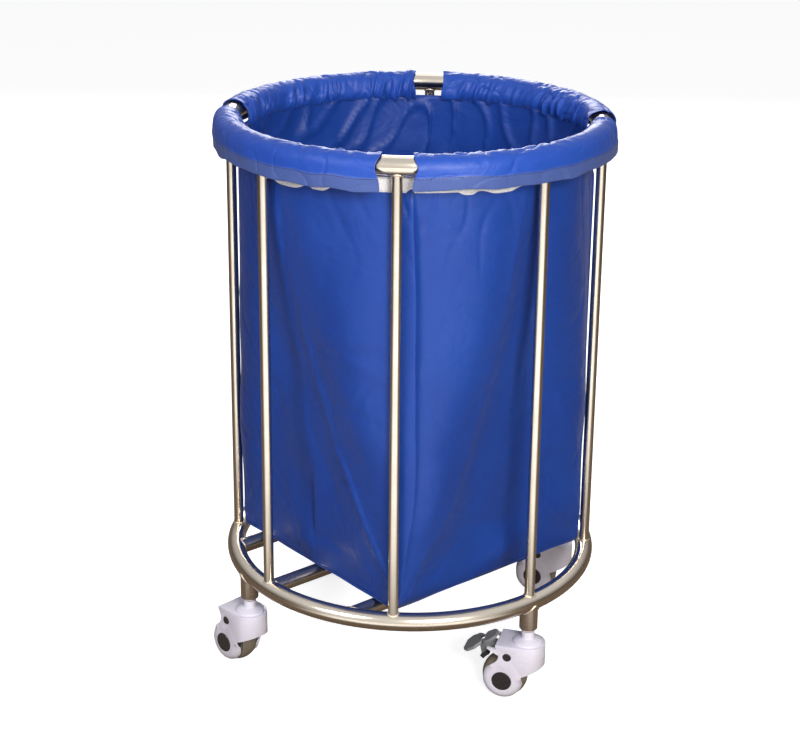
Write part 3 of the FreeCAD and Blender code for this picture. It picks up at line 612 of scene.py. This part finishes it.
def ring_sleeve(quarter):
    """The cloth folded over the ring between two notches. Its section, in mm from the tube's
    centre, is a smooth line from a gathered foot inside the wall, over the tube, to a hem
    hanging outside the uprights. The inner side is puckered: sharp-topped waves
    1 - |sin|^0.8 that grow from the crown to the foot. The ends curve back in a lens shape
    and stand off the tube."""
    rows, columns = 72, 260
    section = mm(curve_through(
        [(-16.4, -21.0), (-18.8, -16.0), (-20.2, -9.5), (-18.6, -2.0), (-15.0, 7.0),
         (-8.5, 13.2), (0.5, 15.6), (8.2, 14.0), (14.2, 9.6), (17.9, 2.5),
         (19.2, -6.5), (19.4, -15.0), (18.8, -23.0), (18.2, -31.0)], rows))
    step = np.linalg.norm(np.diff(section, axis=0), axis=1)
    run = np.concatenate([[0], np.cumsum(step)])
    share = run / run[-1]
    tangent = np.gradient(section, axis=0)
    tangent /= np.linalg.norm(tangent, axis=1, keepdims=True)
    outward = np.stack([-tangent[:, 1], tangent[:, 0]], -1)
    s = share[:, None]
    # ends: 4.2 degrees from the corner upright at crown and hem, 5.5 at mid tube
    belly = np.exp(-((s - 0.70) / 0.13) ** 2) + 0.6 * np.exp(-((s - 0.25) / 0.15) ** 2)
    rng = np.random.default_rng(40 + quarter)
    # the outer flaps of neighbouring sleeves are cut unevenly, by up to 0.4 degrees
    gap_a = np.radians(4.2 + 1.3 * belly + rng.uniform(-0.4, 0.4))
    gap_b = np.radians(4.2 + 1.3 * belly + rng.uniform(-0.4, 0.4))
    line = np.linspace(-1, 1, columns)
    lean = (line * 0.8 + 0.2 * np.sin(line * math.pi / 2))[None, :]
    angle = np.where(lean < 0, lean * (math.pi / 4 - gap_a), lean * (math.pi / 4 - gap_b))
    arc = angle * ring_r
    # puckers
    wander = 0.9 * soft_noise(arc / 0.08, 0 * arc + quarter * 3.1, 20 + quarter)
    slant = 7 * soft_noise(arc / 0.06, 0 * arc, 30 + quarter) * s
    fold = np.sin(arc / mm(8.5) + 2.4 * wander + 5 * s + slant)
    fine = np.sin(arc / mm(3.9) + 3.1 * wander + 9 * s + 1.3 - slant)
    sharp = (1 - np.abs(fold) ** 0.8) * 0.75 + (1 - np.abs(fine) ** 0.8) * 0.35
    strength = 0.35 + 0.65 * smooth_step(0.5 + 0.9 * soft_noise(arc / 0.11, 0 * arc, 60 + quarter))
    inner = smooth_step((0.42 - s) / 0.3) * smooth_step(s * 9 + 0.15)
    lift = mm(8.5) * sharp * strength * inner
    # the scalloped foot
    droop = mm(7.0) * sharp * strength * smooth_step((0.16 - s) / 0.16)
    # small puckers over the crown and loose waves on the outer flap
    crown = np.exp(-((s - 0.42) / 0.16) ** 2)
    lift = lift + mm(1.0) * crown * soft_noise(arc / 0.017, s * 4, 70 + quarter) * strength
    lift = lift - mm(2.6) * wrinkles(arc / 0.036, s * 2.2, 100 + quarter, 0.14) * strength \
        * smooth_step((0.62 - s) / 0.2)
    lift = lift - mm(1.1) * wrinkles(arc / 0.07, s * 1.6, 110 + quarter, 0.1) \
        * smooth_step((s - 0.45) / 0.2)
    flap = smooth_step((s - 0.62) / 0.3)
    lift = lift + mm(1.3) * flap * soft_noise(arc / 0.10, s * 2.0, 80 + quarter)
    # the hem is doubled over for 18 mm
    lift = lift + mm(0.9) * smooth_step((run[:, None] - run[-1] + mm(18.8)) / mm(1.6))
    # each end stands off the tube a little, as a cut edge does
    end = np.exp(-(np.minimum(angle + math.pi / 4 - gap_a, math.pi / 4 - gap_b - angle) * ring_r
                   / mm(7)) ** 2)
    lift = lift + mm(0.8) * end * smooth_step((s - 0.2) * 6) * smooth_step((0.9 - s) * 6)
    radial = section[:, 0][:, None] + outward[:, 0][:, None] * lift
    rise = section[:, 1][:, None] + outward[:, 1][:, None] * lift - droop
    # the hem's line rises and falls, and each flap hangs lower towards its far end
    rise = rise + flap * (mm(1.5) * soft_noise(arc / 0.075, 0 * arc, 90 + quarter) + mm(2.2)
                          - mm(3.4) * (line[None, :] if quarter == 3 else 0.4))
    reach = ring_r + radial
    whole = angle + quarter * math.pi / 2
    points = np.stack([reach * np.cos(whole), reach * np.sin(whole), top_z + rise], -1)[:, ::-1]
    uv = np.stack([np.broadcast_to(arc + 0.3, reach.shape),
                   np.broadcast_to(run[-1] - run[:, None], reach.shape)], -1)[:, ::-1]
    name = "ring_sleeve_cloth_%d" % (quarter + 1)
    piece = grid_piece(name, points, sleeve_cloth, uv)
    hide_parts("ring_sleeve_%d" % (quarter + 1))


def hook_loop_tape():
    """Four lengths of tape sewn round the wall under the ring. Each hangs straight, and
    droops below the flap where its lower stitching has let go."""
    # where it droops: degrees round, half width in degrees, depth in mm
    droops = ((188, 7, 9), (200, 3.4, 6), (163, 2.5, 4), (257, 5, 5), (246, 2.4, 4),
              (301, 3.8, 4.5), (20, 4, 5), (110, 5, 6))
    grids = []
    count, layers = 150, 7
    tape_span = 44           # degrees each side of a panel's middle
    for quarter in range(4):
        angle = np.radians(np.linspace(-tape_span, tape_span, count) + 90 * quarter)
        drop = np.zeros(count)
        for centre, width, depth in droops:
            off = (np.degrees(angle) - centre + 180) % 360 - 180
            drop += mm(depth) * np.exp(-(off / width) ** 4)
        level = np.linspace(0, 1, layers)
        high = tape_high.z - mm(0.6) - 0.35 * drop
        low = tape_low.z - drop
        z = low[:, None] + (high - low)[:, None] * level[None]
        reach = tape_high.x - mm(0.2) + mm(1.6) * (drop[:, None] / mm(12)) * (1 - level[None])
        outer = np.stack([reach * np.cos(angle)[:, None], reach * np.sin(angle)[:, None], z], -1)
        inner = outer.copy()
        inner[..., 0] -= mm(0.8) * np.cos(angle)[:, None]
        inner[..., 1] -= mm(0.8) * np.sin(angle)[:, None]
        grids.append((np.concatenate([outer, inner[:, ::-1]], 1), False))
    piece = join_grids("hook_loop_tape", grids, finish["hook_tape"])
    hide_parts("hook_loop_strip")


bag_walls()
bag_base()
base_welt()
for quarter in range(4):
    ring_sleeve(quarter)
hook_loop_tape()


# ------------------------------------------------------------------ welds

def bead(centre, seed, radius=mm(1.5)):
    """A fillet weld along a joint line: a tube whose radius swells with each pool of metal,
    as 1 + 0.18 |sin|, with seeded unevenness."""
    count = len(centre)
    length = np.linalg.norm(np.roll(centre, -1, 0) - centre, axis=1).sum()
    way = np.linspace(0, 1, count, endpoint=False)
    pools = max(8, int(length / mm(2.2)))
    size = radius * (0.85 + 0.22 * np.abs(np.sin(way * pools * math.pi))
                     + 0.12 * soft_noise(way * 6, 0 * way, seed))
    return tube_along(centre, size, 8, True), True


def cage_welds():
    """Beads where each tube meets a ring. An upright meets a ring at the height
    sqrt(R^2 - d^2) above or below the ring's centreline, d being how far the point is from
    it; a bar meets the bottom ring's inner face in the same way, turned on its side."""
    turn = np.linspace(0, 2 * math.pi, 96, endpoint=False)
    grids = []
    for k in range(8):
        a = k * math.pi / 4
        x = ring_r * math.cos(a) + upright_r * np.cos(turn)
        y = ring_r * math.sin(a) + upright_r * np.sin(turn)
        rise = np.sqrt(pipe_r ** 2 - (np.hypot(x, y) - ring_r) ** 2)
        grids.append(bead(np.column_stack([x, y, low_z + rise]), k))
        grids.append(bead(np.column_stack([x, y, top_z - rise]), 20 + k))
    for row in (-1, 0, 1):
        for end in (-1, 1):
            y = row * bar_pitch + bar_r * np.cos(turn)
            z = bar_r * np.sin(turn)
            inner = ring_r - np.sqrt(pipe_r ** 2 - z ** 2)
            x = end * np.sqrt(inner ** 2 - y ** 2)
            grids.append(bead(np.column_stack([x, y, low_z + z]), 40 + row + 3 * end, mm(1.3)))
    socket_r = mm(12.4)
    for k, degrees in caster_angles.items():
        a = math.radians(degrees)
        x = ring_r * math.cos(a) + socket_r * np.cos(turn)
        y = ring_r * math.sin(a) + socket_r * np.sin(turn)
        rise = np.sqrt(np.maximum(pipe_r ** 2 - (np.hypot(x, y) - ring_r) ** 2, 0))
        grids.append(bead(np.column_stack([x, y, low_z - rise]), 60 + k))
    piece = join_grids("cage_welds", grids, weld_finish)


cage_welds()


# ------------------------------------------------------------------ casters

def softened(node, width):
    """A copy of a node's mesh with its loose triangles merged, and its edges rounded as a
    moulding's are. It stands for the node."""
    source = nodes[node]
    mesh = source.data.copy()
    mesh.name = node + "_moulded"
    piece = bpy.data.objects.new(node + "_moulded", mesh)
    bpy.context.scene.collection.objects.link(piece)
    weld = piece.modifiers.new("merge", "WELD")
    weld.merge_threshold = mm(0.01)
    bpy.context.view_layer.update()
    merged = bpy.data.meshes.new_from_object(piece.evaluated_get(bpy.context.evaluated_depsgraph_get()))
    piece.modifiers.clear()
    piece.data = merged
    merged.polygons.foreach_set("use_smooth", [True] * len(merged.polygons))
    soft = piece.modifiers.new("moulded edges", "BEVEL")
    soft.width = width
    soft.segments = 3
    soft.limit_method = "ANGLE"
    soft.angle_limit = math.radians(32)
    soft.use_clamp_overlap = True
    soft.harden_normals = True
    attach(piece, source["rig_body"])
    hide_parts(node)


def pedal_rivet(k, heading):
    """The plated rivet at the pedal's waist: a dome, its radius falling as the cosine while
    its height climbs as the sine, on the pad's 30 degree slope."""
    slope, out = math.radians(30), math.radians(heading)
    ahead = np.array([math.cos(out), math.sin(out), 0.0])
    across = np.array([-ahead[1], ahead[0], 0.0])
    down = ahead * math.cos(slope) - np.array([0, 0, math.sin(slope)])
    up = ahead * math.sin(slope) + np.array([0, 0, math.cos(slope)])
    a = math.radians(caster_angles[k])
    seat = np.array([ring_r * math.cos(a), ring_r * math.sin(a), mm(77.5)]) + ahead * mm(61) \
        + up * mm(4)
    rise = np.linspace(0, 1.45, 9)
    radius = mm(4.6) * np.concatenate([[1.0], np.cos(rise)])
    height = np.concatenate([[-mm(0.8)], mm(2.4) * np.sin(rise)])
    turn = np.linspace(0, 2 * math.pi, 28, endpoint=False)
    points = (seat + height[:, None, None] * up
              + radius[:, None, None] * (np.cos(turn)[None, :, None] * across
                                         - np.sin(turn)[None, :, None] * down))
    piece = join_grids("pedal_rivet_%d" % k, [(points, False)], finish["zinc_steel"],
                       nodes["brake_pedal_%d" % k]["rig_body"])


for k in caster_angles:
    softened("hood_%d" % k, mm(0.9))
for k, heading in ((1, 124), (3, -20)):
    softened("brake_pedal_%d" % k, mm(0.8))
    pedal_rivet(k, heading)


# ------------------------------------------------------------------ floor, light and camera

def studio_floor():
    """A pale floor, 12 m across, level with the wheels. It is white where it is seen
    directly; in reflections and bounced light it is wood, with a glowing painted pool of daylight in
    front."""
    material, tree, shader = new_material("pale studio floor")
    place = add(tree, "ShaderNodeTexCoord")
    cloud = add(tree, "ShaderNodeTexNoise", {"Vector": place.outputs["Object"], "Scale": 0.7})
    tone = add(tree, "ShaderNodeMix", {0: cloud.outputs[0], 6: colour("#f6f6f6"),
                                       7: colour("#f1f1f2")}, data_type="RGBA")
    # the trolley itself sees a warm wooden floor round it, with a painted pool of daylight on it in front
    far = add(tree, "ShaderNodeVectorMath", {0: place.outputs["Object"]}, operation="LENGTH")
    way = add(tree, "ShaderNodeVectorMath", {0: place.outputs["Object"]}, operation="NORMALIZE")
    facing = add(tree, "ShaderNodeVectorMath", {0: way.outputs[0], 1: (-0.68, -0.73, 0)},
                 operation="DOT_PRODUCT")
    ahead = add(tree, "ShaderNodeMapRange", {0: facing.outputs[1], 1: 0.5, 2: 0.88},
                interpolation_type="SMOOTHSTEP")
    beyond = add(tree, "ShaderNodeMapRange", {0: far.outputs[1], 1: 0.42, 2: 0.8})
    painted_daylight = add(tree, "ShaderNodeMath", {0: ahead.outputs[0], 1: beyond.outputs[0]},
              operation="MULTIPLY")
    wood = add(tree, "ShaderNodeMix", {0: painted_daylight.outputs[0], 6: colour("#7d6e5f"),
                                       7: colour("#ffffff")}, data_type="RGBA")
    ray = add(tree, "ShaderNodeLightPath")
    both = add(tree, "ShaderNodeMix", {0: ray.outputs["Is Camera Ray"], 6: wood.outputs[2],
                                       7: tone.outputs[2]}, data_type="RGBA")
    # the painted pool of daylight glows for glossy rays
    bright = add(tree, "ShaderNodeMath", {0: ray.outputs["Is Glossy Ray"], 1: painted_daylight.outputs[0]},
                 operation="MULTIPLY")
    seen = add(tree, "ShaderNodeMath", {0: ray.outputs["Is Camera Ray"], 1: 0.7},
               operation="MULTIPLY")
    glow = add(tree, "ShaderNodeMath", {0: bright.outputs[0], 1: 0.55, 2: seen.outputs[0]},
               operation="MULTIPLY_ADD")
    tree.links.new(both.outputs[2], shader.inputs["Base Color"])
    tree.links.new(glow.outputs[0], shader.inputs["Emission Strength"])
    shader.inputs["Emission Color"].default_value = colour("#ffffff")
    shader.inputs["Roughness"].default_value = 0.9
    shader.inputs["Specular IOR Level"].default_value = 0.1
    line = np.linspace(-6, 6, 5)
    x, y = np.meshgrid(line, line, indexing="xy")
    mesh = bpy.data.meshes.new("studio_floor")
    index = np.arange(25).reshape(5, 5)
    faces = np.stack([index[:-1, :-1], index[:-1, 1:], index[1:, 1:], index[1:, :-1]], -1)
    mesh.from_pydata(np.stack([x, y, 0 * x], -1).reshape(-1, 3).tolist(), [],
                     faces.reshape(-1, 4).tolist())
    mesh.materials.append(material)
    floor = bpy.data.objects.new("studio_floor", mesh)
    bpy.context.scene.collection.objects.link(floor)


def light(name, place, target, size, power, tint):
    """A soft box at a place, facing a target."""
    lamp = bpy.data.lights.new(name, "AREA")
    lamp.shape = "RECTANGLE"
    lamp.size, lamp.size_y = size
    lamp.energy = power
    lamp.color = colour(tint)[:3]
    made = bpy.data.objects.new(name, lamp)
    made.matrix_world = Matrix.Translation(place) @ \
        (Vector(target) - Vector(place)).to_track_quat("-Z", "Y").to_matrix().to_4x4()
    bpy.context.scene.collection.objects.link(made)


def studio_world():
    """A room that is white overhead and in front, and brown at eye level to the sides and
    behind, which the steel picks up as the bands along its tubes."""
    world = bpy.data.worlds.new("studio")
    bpy.context.scene.world = world
    world.use_nodes = True
    tree = world.node_tree
    tree.nodes.clear()
    place = add(tree, "ShaderNodeTexCoord")
    parts = add(tree, "ShaderNodeSeparateXYZ", {0: place.outputs["Generated"]})
    high = add(tree, "ShaderNodeMapRange", {0: parts.outputs[2], 1: 0.12, 2: 0.6})
    facing = add(tree, "ShaderNodeVectorMath", {0: place.outputs["Generated"], 1: (-0.68, -0.73, 0)},
                 operation="DOT_PRODUCT")
    front = add(tree, "ShaderNodeMapRange", {0: facing.outputs[1], 1: 0.3, 2: 0.75})
    band = add(tree, "ShaderNodeMix", {0: front.outputs[0], 6: colour("#6b625b"),
                                       7: colour("#ffffff")}, data_type="RGBA")
    room = add(tree, "ShaderNodeMix", {0: high.outputs[0], 6: band.outputs[2],
                                       7: colour("#f4f5f8")}, data_type="RGBA")
    seen = add(tree, "ShaderNodeLightPath")
    # walls and furniture shade a matt surface more than they dim what metal mirrors
    level = add(tree, "ShaderNodeMath", {0: seen.outputs["Is Diffuse Ray"], 1: -0.76, 2: 0.98},
                operation="MULTIPLY_ADD")
    ground = add(tree, "ShaderNodeBackground", {"Color": room.outputs[2],
                                                "Strength": level.outputs[0]})
    plain = add(tree, "ShaderNodeBackground", {"Color": colour("#fdfdfd"), "Strength": 1.0})
    pick = add(tree, "ShaderNodeMixShader", {0: seen.outputs["Is Camera Ray"],
                                             1: ground.outputs[0], 2: plain.outputs[0]})
    add(tree, "ShaderNodeOutputWorld", {0: pick.outputs[0]})


def camera():
    """At the height and side the object is seen from, 2.7 m away, tilted 19 degrees down."""
    bars_turned = math.radians(40.63)
    yaw, pitch, roll = -0.0146, 0.331, 0.0101
    ahead = Vector((math.sin(yaw), math.cos(yaw), 0.0))
    right = Vector((math.cos(yaw), -math.sin(yaw), 0.0))
    up = Vector((0, 0, 1))
    view = ahead * math.cos(pitch) - up * math.sin(pitch)
    over = up * math.cos(pitch) + ahead * math.sin(pitch)
    right, over = (right * math.cos(roll) + over * math.sin(roll),
                   over * math.cos(roll) - right * math.sin(roll))
    turn = Matrix.Rotation(-bars_turned, 3, "Z")
    right, over, view = turn @ right, turn @ over, turn @ view
    made = bpy.data.cameras.new("camera")
    made.sensor_width = 36.0
    made.lens = 1776.0 / 800 * 36
    made.shift_y = -0.08
    made.clip_start, made.clip_end = 0.1, 50
    seat = bpy.data.objects.new("camera", made)
    place = Vector((-1.5185, -1.7950, 1.3072))
    seat.matrix_world = Matrix.Translation(place) @ \
        Matrix((right, over, -view)).transposed().to_4x4()
    bpy.context.scene.collection.objects.link(seat)
    bpy.context.scene.camera = seat


studio_floor()
studio_world()
light("key", (-1.1, -2.5, 1.75), (0, 0, 0.45), (0.9, 0.9), 84, "#fffaf3")
light("side", (-2.4, -0.3, 1.9), (0, 0, 0.45), (1.0, 1.0), 26, "#f6f8ff")
light("back", (1.9, 2.3, 1.7), (0, 0, 0.35), (1.1, 1.1), 44, "#fbfaff")
light("top", (0.8, 0.9, 3.0), (0, 0, 0.6), (1.6, 1.6), 7, "#ffffff")
camera()
bpy.context.scene.view_settings.view_transform = "Standard"
